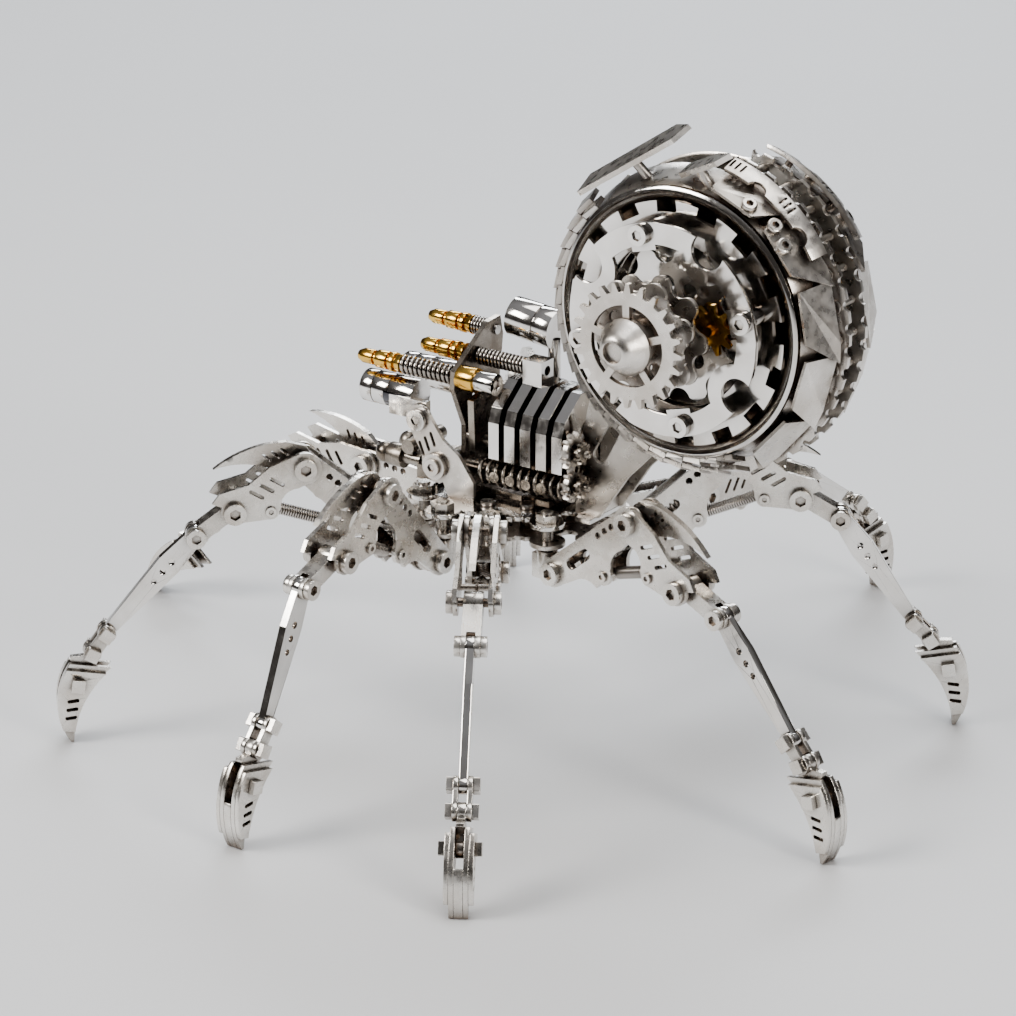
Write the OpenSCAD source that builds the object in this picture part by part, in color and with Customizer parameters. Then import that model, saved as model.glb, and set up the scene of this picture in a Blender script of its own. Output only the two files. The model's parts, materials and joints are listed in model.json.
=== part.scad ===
// Eight-legged mechanical spider, assembled from thin steel plates, screws and turned parts.
// The head points along -X, the animal's left side is -Y, up is +Z, and the ground is z = 0.

/* [Stance] */
// Height of the femur axles above the ground
axle_z = 50; // [47:0.5:53]
// Radius of the circle that the eight coxa pins stand on
pin_circle_r = 23.5; // [23:0.5:25]
// Distance from a coxa pin to its femur axle
coxa_reach = 5; // [5:0.1:5.5]

/* [Leg] */
// Femur length, from root axle to knee
femur_len = 32.4; // [31:0.2:34]
// Patella length, from knee to link screw
patella_len = 20.6; // [19.6:0.2:22]
// Link length, from link screw to tibia screw
link_len = 11.8; // [11.4:0.2:13]
// Tibia length
tibia_len = 33.5; // [30:0.5:38]
// First knuckle length
knuckle_a_len = 6.2; // [6:0.1:7]
// Second knuckle length
knuckle_b_len = 8.6; // [8.2:0.1:9.6]
// Claw length, from its screw to the tip
claw_len = 16; // [15:0.5:18]
// Thickness of every leg plate
leg_plate = 1.1; // [0.9:0.05:1.2]
// Radius of the knee screws' shanks
screw_r = 1.1; // [0.9:0.05:1.2]
// Diameter of the socket heads
head_d = 5.5; // [5:0.1:5.6]

/* [Base] */
// Underside of the lower base plate
base_z = 55.2; // [55:0.1:56]
// Thickness of both base plates
base_plate = 1.2; // [1:0.1:1.4]
// Gap between the two base plates
base_gap = 3.8; // [3:0.1:4]
// Radius of the plates' middle
base_r = 20.5; // [19.5:0.5:21]

/* [Abdomen] */
// Distance of the abdomen's shaft behind the body's centre
drum_x = 56.2; // [56:0.2:59]
// Height of the abdomen's shaft
drum_z = 119.6; // [119:0.2:124]
// Radius of the notched rim plates
rim_r = 29.6; // [29.2:0.2:30.4]
// Radius of the crest's tread over the back
crest_r = 40; // [39.6:0.2:40.4]

/* [Hidden] */
$fn = 48;
running = 0.05;
touching = 0.03;
side_names = ["L1", "L2", "L3", "L4", "R4", "R3", "R2", "R1"];
part_names = ["coxa", "femur", "patella", "tibia", "foot"];
body_names = [
    "base_plate_upper", "base_plate_lower", "base_hardware", "engine_frame", "engine_fins",
    "head_brackets", "jaw_cluster", "eye_lamp_left", "eye_lamp_right", "top_barrel",
    "nozzle_left", "nozzle_middle", "nozzle_right", "abdomen_frame", "drum_rims",
    "drum_dishes", "armour_tiles", "back_plates", "hub_gears", "idler_gear"
];

// Shift that centres the whole stance on the origin
hub_x = 9.8;
hub_y = -13.58;

// Azimuth of each coxa pin, then of each leg's plane: 0 is the left side, 90 the rear
pin_azimuth = [-52.5, -17.5, 17.5, 52.5, 127.5, 162.5, 197.5, 232.5];
leg_azimuth = [-46, -2, 31, 81, 122, 168, 222, 270.5];
// Slope below the horizontal of patella, link, tibia, two knuckles and claw
leg_slopes = [
    [31, 36, 47, 53, 63, 81],
    [36, 21, 64, 51, 59, 77],
    [33, 38, 50, 49, 55, 64],
    [40, 22, 48, 46, 58, 78],
    [31, 31, 55, 46, 57, 81],
    [1, 2, 31, 50, 62, 77],
    [32, 36, 55, 52, 63, 86],
    [4, 43, 39, 42, 46, 50]
];
segment_len = [femur_len, patella_len, link_len, tibia_len, knuckle_a_len, knuckle_b_len, claw_len];

// The femur rises just enough to put the claw's tip on the ground
function chain_drop(i, k = 0) =
    k > 5 ? 0 : segment_len[k + 1] * sin(leg_slopes[i][k]) + chain_drop(i, k + 1);
function slopes(i) = concat([-asin((chain_drop(i) - axle_z) / femur_len)], leg_slopes[i]);
function joint_at(i, k) =
    k == 0 ? [coxa_reach, axle_z]
    : joint_at(i, k - 1) + segment_len[k - 1] * [cos(slopes(i)[k - 1]), -sin(slopes(i)[k - 1])];
function arc(x, y, r, from, to, n) =
    [for (k = [0:n]) [x, y] + r * [cos(from + (to - from) * k / n), sin(from + (to - from) * k / n)]];

// Layout across a leg: the femur plates stand inside the patella plates
femur_y = 2.4;
patella_y = femur_y + leg_plate + 0.15;
patella_half = patella_y + leg_plate;
tongue_half = femur_y - 0.1;
tibia_half = 1;
fork_y = tibia_half + 0.1;
tarsus_t = 1.2;
head_h = 1.7;

top_z = base_z + 2 * base_plate + base_gap;
steel = "silver";
bright = "gainsboro";
dark = "dimgray";
brass = "goldenrod";

module in_body() {
    translate([hub_x, hub_y, 0])
        children();
}

// Leg frame: origin at the coxa pin's foot on the ground, +X outwards
module in_leg(i) {
    in_body()
        rotate([0, 0, pin_azimuth[i] - 90])
            translate([pin_circle_r, 0, 0])
                rotate([0, 0, leg_azimuth[i] - pin_azimuth[i]])
                    children();
}

// Segment frame: origin at the segment's first joint, +X along the segment
module on_segment(i, k) {
    in_leg(i)
        translate([joint_at(i, k)[0], 0, joint_at(i, k)[1]])
            rotate([0, slopes(i)[k], 0])
                children();
}

// A flat shape drawn in the leg's plane, as a plate that starts at y0
module plate(y0, t) {
    translate([0, y0 + t, 0])
        rotate([90, 0, 0])
            linear_extrude(t)
                children();
}

module plate_pair(y0, t) {
    plate(y0, t)
        children();
    plate(-y0 - t, t)
        children();
}

module rod_y(half, r) {
    translate([0, half, 0])
        rotate([90, 0, 0])
            cylinder(r = r, h = 2 * half);
}

// A through screw along Y: two socket heads and the shank that joins them
module cross_screw(half, r, d = head_d, h = head_h) {
    difference() {
        union() {
            rod_y(half + 0.1, r);
            for (s = [-1, 1])
                translate([0, s * (half + touching + h / 2), 0])
                    rod_y(h / 2, d / 2);
        }
        for (s = [-1, 1])
            translate([0, s * (half + touching + h), 0])
                rotate([90, 0, 0])
                    cylinder(r = d * 0.27, h = 2 * h * 0.6, center = true, $fn = 6);
    }
}

module slot2d(len, w) {
    square([len - w, w], center = true);
    for (s = [-1, 1])
        translate([s * (len - w) / 2, 0])
            circle(d = w, $fn = 16);
}

// ---- Legs ----------------------------------------------------------------

module coxa(i) {
    pin_r = 1.5;
    eye_r = 3.2;
    collar_z = base_z - 1.2;
    nut_z = top_z + 0.05;
    color(steel)
        in_leg(i) {
            difference() {
                union() {
                    plate(-tongue_half, 2 * tongue_half)
                        union() {
                            translate([coxa_reach, axle_z])
                                circle(eye_r);
                            translate([-3, axle_z - eye_r])
                                square([coxa_reach + 3, 2 * eye_r]);
                        }
                    translate([0, 0, axle_z])
                        cylinder(r = 2.6, h = collar_z - axle_z);
                    translate([0, 0, collar_z - 0.1])
                        cylinder(r = pin_r, h = nut_z + 2.6 - collar_z);
                }
                translate([coxa_reach, 0, axle_z])
                    rod_y(tongue_half + 1, 1.2 + running);
            }
            translate([0, 0, nut_z])
                difference() {
                    cylinder(r = 2.9, h = 1.9, $fn = 6);
                    translate([0, 0, -1])
                        cylinder(r = pin_r + touching, h = 4);
                }
        }
}

module femur_outline() {
    difference() {
        union() {
            circle(3.6);
            translate([femur_len, 0])
                circle(3.8);
            translate([15.5, -7.4])
                circle(2.3);
            polygon(concat(
                [[0, 3.5], [femur_len, 3.8], [femur_len + 2, -3.2], [femur_len - 6, -4.2]],
                arc(femur_len - 8.5, -10.5, 6.2, 75, 160, 6),
                [[13.5, -8.6]],
                arc(6, -10.5, 6, 15, 90, 6),
                [[0, -3.5]]
            ));
        }
        circle(1.2 + touching);
        translate([femur_len, 0])
            circle(screw_r + running);
        translate([15.5, -7.4])
            circle(0.8 + touching);
        for (k = [0:2])
            translate([femur_len - 6.6 - 2.7 * k, 1.6])
                circle(0.9, $fn = 20);
        translate([10.5, -0.6])
            slot2d(9, 3);
    }
}

module femur(i) {
    lug = [15.5, -7.4];
    color(steel)
        on_segment(i, 0) {
            plate_pair(femur_y, leg_plate)
                femur_outline();
            cross_screw(femur_y + leg_plate, 1.2);
            translate([lug[0], 0, lug[1]])
                cross_screw(femur_y + leg_plate, 0.8, 2.6, 0.7);
            for (x = [8.5, 22.5])
                translate([x, 0, -2.6])
                    difference() {
                        cube([2.2, 2 * femur_y - 0.06, 3.4], center = true);
                        rotate([0, 90, 0])
                            cylinder(r = 0.9 + touching, h = 5, center = true);
                    }
            translate([6.8, 0, -2.6])
                rotate([0, 90, 0])
                    cylinder(r = 0.9, h = 17.6);
        }
}

module patella_outline() {
    lug = [13, -4.7];
    difference() {
        union() {
            circle(4.1);
            translate([patella_len, 0])
                circle(3.3);
            translate(lug)
                circle(2.1);
            polygon(concat(
                [[-1, 4], [7, 5.2], [14, 4.2], [patella_len + 0.5, 6.2], [patella_len + 3.4, 5]],
                [[patella_len + 1.6, 2.6], [patella_len, -3.2], [lug[0] + 1.5, -6.2], [lug[0] - 1.5, -6]],
                arc(6.4, -7.4, 4.6, 25, 120, 6),
                [[0, -4]]
            ));
        }
        for (x = [0, patella_len])
            translate([x, 0])
                circle(screw_r + touching);
        translate(lug)
            circle(0.8 + touching);
        for (k = [0:2])
            translate([7.6 + 3 * k, 1])
                rotate([0, 0, 62])
                    slot2d(4.2, 1);
    }
}

// The fang-shaped blade that stands over the knee
module blade_outline() {
    difference() {
        union() {
            circle(3.4);
            polygon(concat(
                [[-2.8, -1], [-2.9, 3.6]],
                arc(15.75, -18.1, 29.5, 121, 82.7, 10),
                arc(24, -9, 20.7, 103.5, 150.5, 10),
                [[2.4, -2]]
            ));
        }
        circle(screw_r + touching);
        for (k = [0:2])
            translate([2.2 + 2.3 * k, 5.2 + 0.6 * k])
                rotate([0, 0, 70])
                    slot2d(2.9, 0.8);
    }
}

module link_outline() {
    union() {
        circle(2.7);
        translate([link_len, 0])
            circle(2.7);
        translate([0, -2.1])
            square([link_len, 4.2]);
    }
}

module patella(i) {
    link_half = 2.3;
    color(steel) {
        on_segment(i, 1) {
            plate_pair(patella_y, leg_plate)
                patella_outline();
            plate(-0.8, 1.6)
                blade_outline();
            cross_screw(patella_half, screw_r);
            translate([patella_len, 0, 0])
                cross_screw(patella_half, screw_r);
            translate([13, 0, -4.7])
                cross_screw(patella_half, 0.8, 2.6, 0.7);
        }
        on_segment(i, 2) {
            difference() {
                plate(-link_half, 2 * link_half)
                    link_outline();
                rod_y(link_half + 1, screw_r + touching);
                translate([link_len, 0, 0]) {
                    rod_y(link_half + 1, 1 + touching);
                    rod_y(fork_y, 3.4);
                }
            }
            translate([link_len, 0, 0])
                cross_screw(link_half, 1, 4.9, 1.5);
        }
    }
}

module tibia(i) {
    color(bright)
        on_segment(i, 3)
            plate(-tibia_half, 2 * tibia_half)
                difference() {
                    union() {
                        circle(2.6);
                        translate([tibia_len, 0])
                            circle(2);
                        polygon([
                            [0, 2.2], [tibia_len * 0.3, 3.1], [tibia_len, 1.5],
                            [tibia_len, -1.5], [tibia_len * 0.3, -3.1], [0, -2.2]
                        ]);
                    }
                    circle(1 + running);
                    translate([tibia_len, 0])
                        circle(0.9 + running);
                    for (t = [0.27, 0.37, 0.47])
                        translate([tibia_len * t, 0])
                            circle(1 - t * 0.5, $fn = 20);
                }
}

module knuckle_outline(len, r) {
    difference() {
        union() {
            circle(r);
            translate([len, 0])
                circle(r);
            translate([0, -r * 0.75])
                square([len, r * 1.5]);
        }
        for (x = [0, len])
            translate([x, 0])
                circle(0.9 + touching);
    }
}

// A cross pin with square nuts on both ends
module square_nut_pin(half) {
    rod_y(half + 0.1, 0.9);
    for (s = [-1, 1])
        translate([0, s * (half + touching + 0.8), 0])
            cube([3.3, 1.6, 3.3], center = true);
}

module claw_outline(from, to) {
    intersection() {
        rotate([0, 0, 7])
            difference() {
                translate([1.5, -14.6])
                    circle(19, $fn = 96);
                translate([9.5, -28.6])
                    circle(26.4, $fn = 96);
            }
        translate([from, -12])
            square([to - from, 24]);
    }
}

module foot(i) {
    claw_back = -5;
    claw_over = 0.9;
    fork_half = fork_y + tarsus_t;
    color(steel)
        difference() {
            union() {
                on_segment(i, 4) {
                    plate_pair(fork_y, tarsus_t)
                        knuckle_outline(knuckle_a_len, 2.3);
                    square_nut_pin(fork_half);
                }
                on_segment(i, 5) {
                    plate(-tibia_half, 2 * tibia_half)
                        difference() {
                            union() {
                                knuckle_outline(knuckle_b_len, 2.2);
                                polygon([[1.4, 1], [3.4, 4.4], [4.2, 4.2], [5.6, 1]]);
                            }
                            translate([knuckle_b_len / 2, 0])
                                circle(0.6, $fn = 16);
                        }
                    square_nut_pin(fork_half);
                }
                on_segment(i, 6) {
                    plate_pair(fork_y, tarsus_t)
                        difference() {
                            claw_outline(claw_back, claw_len + claw_over);
                            circle(0.9 + touching);
                        }
                    plate_pair(fork_half + touching, leg_plate)
                        difference() {
                            claw_outline(claw_back + 1.4, claw_len * 0.8);
                            circle(0.9 + touching);
                            for (k = [0:2])
                                translate([4.4 + 2.3 * k, 0.7])
                                    rotate([0, 0, 75])
                                        slot2d(3, 0.8);
                        }
                    plate(-fork_y + touching, 2 * (fork_y - touching))
                        claw_outline(4.5, claw_len + claw_over);
                    square_nut_pin(fork_half + leg_plate + touching);
                }
            }
            in_body()
                translate([-400, -400, -40])
                    cube([800, 800, 40]);
        }
}

// ---- Base ----------------------------------------------------------------

// Scalloped outline that carries one round lobe per leg
module base_outline() {
    difference() {
        union() {
            circle(base_r, $fn = 96);
            for (a = pin_azimuth)
                rotate([0, 0, a - 90]) {
                    translate([pin_circle_r, 0])
                        circle(4.5);
                    translate([pin_circle_r - 8, -3.4])
                        square([8, 6.8]);
                }
            translate([-26, -8])
                square([16, 16]);
            translate([12, -8])
                square([15, 16]);
        }
        for (a = pin_azimuth)
            rotate([0, 0, a - 90])
                translate([pin_circle_r, 0])
                    circle(1.5 + running);
        for (a = [-70, -35, 0, 35, 70, 110, 145, 180, 215, 250])
            rotate([0, 0, a - 90])
                translate([base_r + 1.3, 0])
                    circle(2.1);
        for (a = [0:45:315])
            rotate([0, 0, a])
                translate([13.2, 0])
                    circle(1 + touching, $fn = 20);
        circle(7);
    }
}

module base_plate_upper() {
    color(bright)
        in_body()
            translate([0, 0, top_z - base_plate])
                linear_extrude(base_plate)
                    difference() {
                        base_outline();
                        for (s = [-1, 1]) {
                            translate([-22.5, 4.6 * s])
                                circle(1 + touching, $fn = 20);
                            translate([23.5, 4.8 * s])
                                circle(1 + touching, $fn = 20);
                        }
                    }
}

module base_plate_lower() {
    color(steel)
        in_body()
            translate([0, 0, base_z])
                linear_extrude(base_plate)
                    base_outline();
}

// Eight spacers with a screw and a washer each
module base_hardware() {
    color(steel)
        in_body()
            for (a = [0:45:315])
                rotate([0, 0, a])
                    translate([13.2, 0, 0]) {
                        translate([0, 0, base_z + base_plate])
                            difference() {
                                cylinder(r = 2, h = base_gap);
                                cylinder(r = 1 + touching, h = 20, center = true);
                            }
                        translate([0, 0, base_z - 1.6])
                            cylinder(r = 1, h = top_z - base_z + 1.7);
                        translate([0, 0, base_z - 1.7])
                            cylinder(r = 2, h = 1.7 - touching);
                        translate([0, 0, top_z + touching])
                            cylinder(r = 1.9, h = 0.9);
                    }
}

// ---- Head and engine -----------------------------------------------------

fin_x0 = -0.6;
fin_pitch = 4.7;
fin_t = 3;
fin_half = 12;
head_pivot = [-20, 80];
bracket_y = 13.6;
nozzle_yz = [[-9, 91.2], [-1.5, 94.8], [6, 99.6]];
guide_x = -12.5;

module rod_x(x0, x1, r) {
    translate([x0, 0, 0])
        rotate([0, 90, 0])
            cylinder(r = r, h = x1 - x0);
}

module cone_x(x0, x1, r0, r1) {
    translate([x0, 0, 0])
        rotate([0, 90, 0])
            cylinder(r1 = r0, r2 = r1, h = x1 - x0);
}

// A flat shape drawn as [y, z], as a plate that starts at x0
module cross_plate(x0, t) {
    translate([x0, 0, 0])
        rotate([90, 0, 90])
            linear_extrude(t)
                children();
}

// Bed plate, guide plate for the nozzle rods, cross plate, tie rods and rollers
module engine_frame() {
    bed_top = top_z + 2.4;
    color(dark)
        in_body() {
            difference() {
                translate([-13.5, -9, top_z + 1])
                    cube([29, 18, bed_top - top_z - 1]);
                for (a = [0:45:315])
                    rotate([0, 0, a])
                        translate([13.2, 0, top_z])
                            cylinder(r = 2.2, h = 8);
            }
            cross_plate(guide_x, 1.4)
                difference() {
                    union() {
                        translate([-7, bed_top])
                            square([14, 26]);
                        polygon([[-7, 78], [-11.8, 88.6], [-11.4, 93], [-4, 97.8], [2.8, 102.4], [8, 102.8],
                                 [9.2, 97.6], [7, 82]]);
                    }
                    for (p = nozzle_yz)
                        translate(p)
                            circle(1.2 + running, $fn = 24);
                    translate([0, 84])
                        circle(4.2);
                    for (s = [-1, 1])
                        translate([4.2 * s, 71])
                            rotate([0, 0, 90])
                                slot2d(7, 2);
                }
            cross_plate(-7.6, 1.8)
                polygon([[-10.4, 73], [-11, 86.4], [-8, 87.4], [8, 87.4], [11, 86.4], [10.4, 73]]);
            for (s = [-1, 1])
                for (z = [68, 75])
                    translate([0, s * 5.5, z])
                        rod_x(guide_x + 1.4, 20, 1.5);
            for (s = [-1, 1])
                for (k = [0:3])
                    translate([fin_x0 + 0.9 + fin_pitch * k + 0.6, s * 8.9, 68.2]) {
                        rod_y(1.8, 2);
                        translate([0, s * 2.1, 0])
                            rod_y(0.9, 1.4);
                    }
        }
}

// Polished plates that stand across the back, with the stop block of the middle nozzle on them
module engine_fins() {
    color(bright)
        in_body()
            difference() {
                union() {
                    for (k = [0:4])
                        cross_plate(fin_x0 + fin_pitch * k, fin_t)
                            polygon([
                                [-fin_half, 73], [-fin_half, 82.4], [-10.6, 86], [-3.6, 91.6], [3.6, 91.6],
                                [10.6, 86], [fin_half, 82.4], [fin_half, 73], [8, 70.6], [-8, 70.6]
                            ]);
                    translate([0, 0, 81])
                        rod_x(fin_x0 - 1.5, fin_x0 + 4 * fin_pitch + fin_t + 0.6, 3);
                    translate([fin_x0 + fin_pitch, nozzle_yz[1][0] - 2.6, 91])
                        cube([5.6, 5.2, 6.4]);
                }
                for (s = [-1, 1])
                    for (z = [68, 75])
                        translate([0, s * 5.5, z])
                            rod_x(-20, 40, 1.5 + touching);
                translate([0, nozzle_yz[1][0], nozzle_yz[1][1]])
                    rod_x(-20, 40, 1.2 + running);
                translate([drum_x, 0, drum_z])
                    rod_y(30, 42.4);
            }
}

module bracket_outline() {
    difference() {
        union() {
            translate(head_pivot)
                circle(3.7);
            translate([-14.5, 69])
                circle(4.4);
            polygon([[-23.6, 79], [-21.4, 83.3], [-17.4, 82.6], [-12.6, 76], [-7.6, 72.6], [-3.2, 66.4],
                     [-3.2, top_z], [-11, top_z], [-12.4, 64.9], [-18.6, 67.4], [-19, 71.4]]);
        }
        translate(head_pivot)
            circle(1.1 + touching);
        translate([-14.5, 69])
            circle(1.5 + touching);
        for (k = [0:2])
            translate([-19 + 1.7 * k, 72.6 + 1.5 * k])
                rotate([0, 0, 112])
                    slot2d(4, 0.9);
    }
}

module head_brackets() {
    color(steel)
        in_body() {
            plate_pair(bracket_y, 1.2)
                bracket_outline();
            translate([-14.5, 0, 69]) {
                for (s = [-1, 1]) {
                    translate([0, s * (bracket_y + 1.2 + touching + 0.7), 0])
                        difference() {
                            rod_y(0.7, 3.3);
                            rod_y(2, 1.5 + touching);
                        }
                }
                cross_screw(bracket_y + 1.2 + 1.4 + touching, 1.5, 4.2, 0.9);
                difference() {
                    rod_y(bracket_y - touching, 1.95);
                    rod_y(bracket_y + 1, 1.5 + touching);
                }
            }
        }
}

// Short arms on the front tab, with two knurled rollers and two ball ends
module jaw_cluster() {
    color(dark)
        in_body() {
            difference() {
                translate([-26, -7.4, top_z + touching])
                    cube([6.2, 14.8, 3.4]);
                for (s = [-1, 1])
                    translate([-22.5, 4.6 * s, top_z])
                        cylinder(r = 1 + touching, h = 10);
            }
            for (s = [-1, 1]) {
                translate([-22.5, 4.6 * s, top_z - base_plate - 1]) {
                    cylinder(r = 1, h = base_plate + 4.4);
                    translate([0, 0, base_plate + 4.45])
                        cylinder(r = 2.2, h = 1.4);
                }
                translate([0, 5 * s, 65]) {
                    rod_x(-31.5, -26, 1.6);
                    rod_x(-35.6, -31.2, 3);
                    translate([-37.4, 0, 0])
                        sphere(r = 2.7);
                }
            }
            translate([-33.4, 0, 65])
                rod_y(2.2, 2.2);
            translate([-29, 0, 68.6])
                rod_y(7.2, 1.9);
            for (s = [-1, 1])
                translate([-29.6, 4.9 * s, 66.9])
                    cube([2.4, 2.2, 2.6], center = true);
        }
}

module eye_lamp(s) {
    lamp_at = [-12, 8.3, 3.5];
    lamp_half = 8;
    lamp_r = 4.2;
    in_body()
        translate([head_pivot[0], 0, head_pivot[1]]) {
            color(steel) {
                translate([0, s * (bracket_y - 0.7), 0])
                    rod_y(2.2, 1.1 - 0.02);
                translate([0, s * (bracket_y + 1.2 + 0.15 + 0.6), 0])
                    difference() {
                        rod_y(0.6, 2.7);
                        translate([0, s * 0.6, 0])
                            rotate([90, 0, 0])
                                cylinder(r = 1.4, h = 0.9, center = true, $fn = 6);
                    }
                translate([-4.4, s * (bracket_y - 1.3), 1.7])
                    cube([11.4, 1.9, 5], center = true);
            }
            translate([lamp_at[0], s * lamp_at[1], lamp_at[2]]) {
                color(bright)
                    difference() {
                        rod_x(-lamp_half, lamp_half, lamp_r);
                        rod_x(-lamp_half - 1, -lamp_half + 1.4, lamp_r - 0.7);
                        for (x = [-4.6, 0.4])
                            difference() {
                                rod_x(x, x + 0.3, lamp_r + 1);
                                rod_x(x - 1, x + 1, lamp_r - 0.3);
                            }
                    }
                color("black")
                    rod_x(-lamp_half + 1.4, -lamp_half + 2, lamp_r - 0.8);
            }
        }
}

module top_barrel() {
    barrel_at = [-0.6, 8.6, 102.6];
    barrel_half = 6.4;
    color(bright)
        in_body() {
            translate(barrel_at)
                rotate([0, 6, 0])
                    difference() {
                        rod_x(-barrel_half, barrel_half, 5);
                        rod_x(-barrel_half - 1, -barrel_half + 1.2, 4.1);
                        difference() {
                            rod_x(1.4, 1.8, 6);
                            rod_x(0, 3, 4.7);
                        }
                    }
            translate([barrel_at[0] + 5.4, barrel_at[1], 89.4])
                cylinder(r = 1.6, h = 10);
        }
}

// A rod that slides through the guide plate: stepped brass rings in front, a brass knurl and a collar behind
module nozzle(k, front, back, collar = false) {
    rings = [[0, 3.2, 1.9, 1.9], [3.2, 4.4, 1.4, 1.4], [4.4, 7.6, 2.3, 2.3], [7.6, 8.6, 1.7, 1.7],
             [8.6, 9.8, 2.5, 2.5], [9.8, 12, 2, 2.5]];
    behind = guide_x + 1.4 + 0.1;
    in_body()
        translate([0, nozzle_yz[k][0], nozzle_yz[k][1]]) {
            color(brass)
                difference() {
                    union() {
                        for (g = rings)
                            cone_x(front + g[0], front + g[1], g[2], g[3]);
                        cone_x(front - 1.4, front, 1.3, 1.9);
                    }
                    rod_x(front - 2, front + 1.2, 0.8);
                }
            color(steel)
                rod_x(front + 11.9, back, 1.2);
            if (collar) {
                color(brass)
                    difference() {
                        rod_x(behind, behind + 5, 3.1);
                        rod_x(behind - 1, behind + 6, 1.2 + touching);
                        for (a = [0:30:330])
                            rotate([a, 0, 0])
                                translate([behind - 1, 3.2, -0.3])
                                    cube([7, 1, 0.6]);
                    }
                color(steel)
                    difference() {
                        rod_x(behind + 5 + touching, back + 0.6, 2.7);
                        rod_x(behind, back - 1, 1.2 + touching);
                        translate([back + 0.6, 0, 0])
                            rotate([0, 90, 0])
                                cylinder(r = 1.5, h = 1.6, center = true, $fn = 6);
                    }
            }
        }
}

// ---- Abdomen -------------------------------------------------------------

shaft_r = 2;
core_r = 5;
frame_y = 4.4;
frame_t = 1.2;
dish_y = 11.4;
rim_y = 15.1;
ring_y = 21.2;
web_y = 16.6;
sun_y = 19;
star_y = 25.2;
cam_y = 30.4;
gear_y = 35.6;
disc_t = 1.2;
tooth = 1.18;
sun_teeth = 12;
idler_teeth = 9;
idler_azimuth = 8;
idler_reach = tooth * (sun_teeth + idler_teeth) / 2;
screw_turn = 15;
screw_circle_r = 23.1;

module in_drum() {
    in_body()
        translate([drum_x, 0, drum_z])
            children();
}

// Turns its children about the shaft: 0 is the rear, 90 the top
module round_drum(a) {
    rotate([0, -a, 0])
        children();
}

module both_sides() {
    for (s = [0, 1])
        mirror([0, s, 0])
            children();
}

module lathe_y(n = 120) {
    rotate([-90, 0, 0])
        rotate_extrude($fn = n)
            children();
}

// Two struts from the rear tab to the shaft, and the two rods that steady the abdomen
module abdomen_frame() {
    foot = [21 - drum_x, top_z - drum_z];
    rod_angles = [203, 257];
    color(steel) {
        in_drum() {
            plate_pair(frame_y, frame_t)
                difference() {
                    union() {
                        circle(8);
                        polygon([foot, foot + [7, 0], foot + [15, 12], [-3, -28], [7.4, -3],
                                 [-6, 5.4], [-27, -9.6], foot + [0.6, 15]]);
                        for (a = rod_angles)
                            rotate([0, 0, a])
                                translate([26, 0])
                                    circle(3.4);
                    }
                    circle(shaft_r + running);
                    for (a = rod_angles)
                        rotate([0, 0, a])
                            translate([26, 0])
                                circle(1.4 + touching);
                    translate([-26, -38])
                        rotate([0, 0, 62])
                            slot2d(13, 4);
                    translate([-14, -17])
                        circle(6.4);
                }
            for (a = rod_angles)
                round_drum(a)
                    translate([26, 0, 0])
                        rod_y(dish_y - touching, 1.4);
        }
        in_body() {
            translate([21, -frame_y + touching, top_z + touching])
                cube([6, 2 * (frame_y - touching), 2.6]);
            for (s = [-1, 1])
                translate([23.5, 4.8 * s, top_z - base_plate - 1])
                    cylinder(r = 1, h = base_plate + 0.9);
        }
    }
}

// Radial notches that leave rectangular merlons round a rim
module notched_disc(r, bore, notches, w, depth) {
    difference() {
        circle(r, $fn = 120);
        circle(bore, $fn = 72);
        for (k = [0:notches - 1])
            rotate([0, 0, k * 360 / notches])
                translate([r - depth, -w / 2])
                    square([depth + 2, w]);
    }
}

// Ring with four screw eyes and four round bites between them
module bitten_ring(outer, inner) {
    bite_r = 4.4;
    difference() {
        union() {
            difference() {
                circle(outer, $fn = 96);
                circle(inner, $fn = 96);
            }
            for (a = [45:90:315])
                rotate([0, 0, a])
                    translate([outer - 2.4, 0])
                        circle(bite_r + 2.8);
            for (a = [0:90:270])
                rotate([0, 0, a])
                    translate([screw_circle_r, 0])
                        square([8, 6.6], center = true);
        }
        for (a = [45:90:315])
            rotate([0, 0, a])
                translate([outer - 1.4, 0])
                    circle(bite_r);
        for (a = [0:90:270])
            rotate([0, 0, a])
                translate([screw_circle_r, 0])
                    circle(1.2 + touching, $fn = 24);
        difference() {
            circle(outer + 20);
            circle(outer, $fn = 96);
        }
    }
}

module drum_rims() {
    in_drum()
        both_sides() {
            color(bright)
                plate(rim_y, disc_t)
                    rotate([0, 0, 6])
                        difference() {
                            notched_disc(rim_r, 20.2, 16, 5.4, 2.8);
                            for (a = [0:90:270])
                                rotate([0, 0, a + screw_turn - 6])
                                    translate([screw_circle_r, 0])
                                        circle(1.2 + touching, $fn = 24);
                        }
            color(steel)
                plate(ring_y, disc_t)
                    rotate([0, 0, screw_turn])
                        bitten_ring(25.8, 20.6);
            color(dark)
                for (a = [0:90:270])
                    round_drum(a + screw_turn)
                        translate([screw_circle_r, 0, 0]) {
                            translate([0, (dish_y + ring_y + disc_t) / 2 + 1, 0])
                                rod_y((ring_y + disc_t - dish_y) / 2 - 1, 1.2);
                            translate([0, (rim_y + disc_t + ring_y) / 2, 0])
                                difference() {
                                    rod_y((ring_y - rim_y - disc_t) / 2 - touching, 2.1);
                                    rod_y(10, 1.2 + touching);
                                }
                            translate([0, ring_y + disc_t + touching + 0.9, 0])
                                difference() {
                                    rod_y(0.9, 2.5);
                                    translate([0, 0.9, 0])
                                        rotate([90, 0, 0])
                                            cylinder(r = 1.4, h = 1.2, center = true, $fn = 6);
                                }
                        }
        }
}

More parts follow.
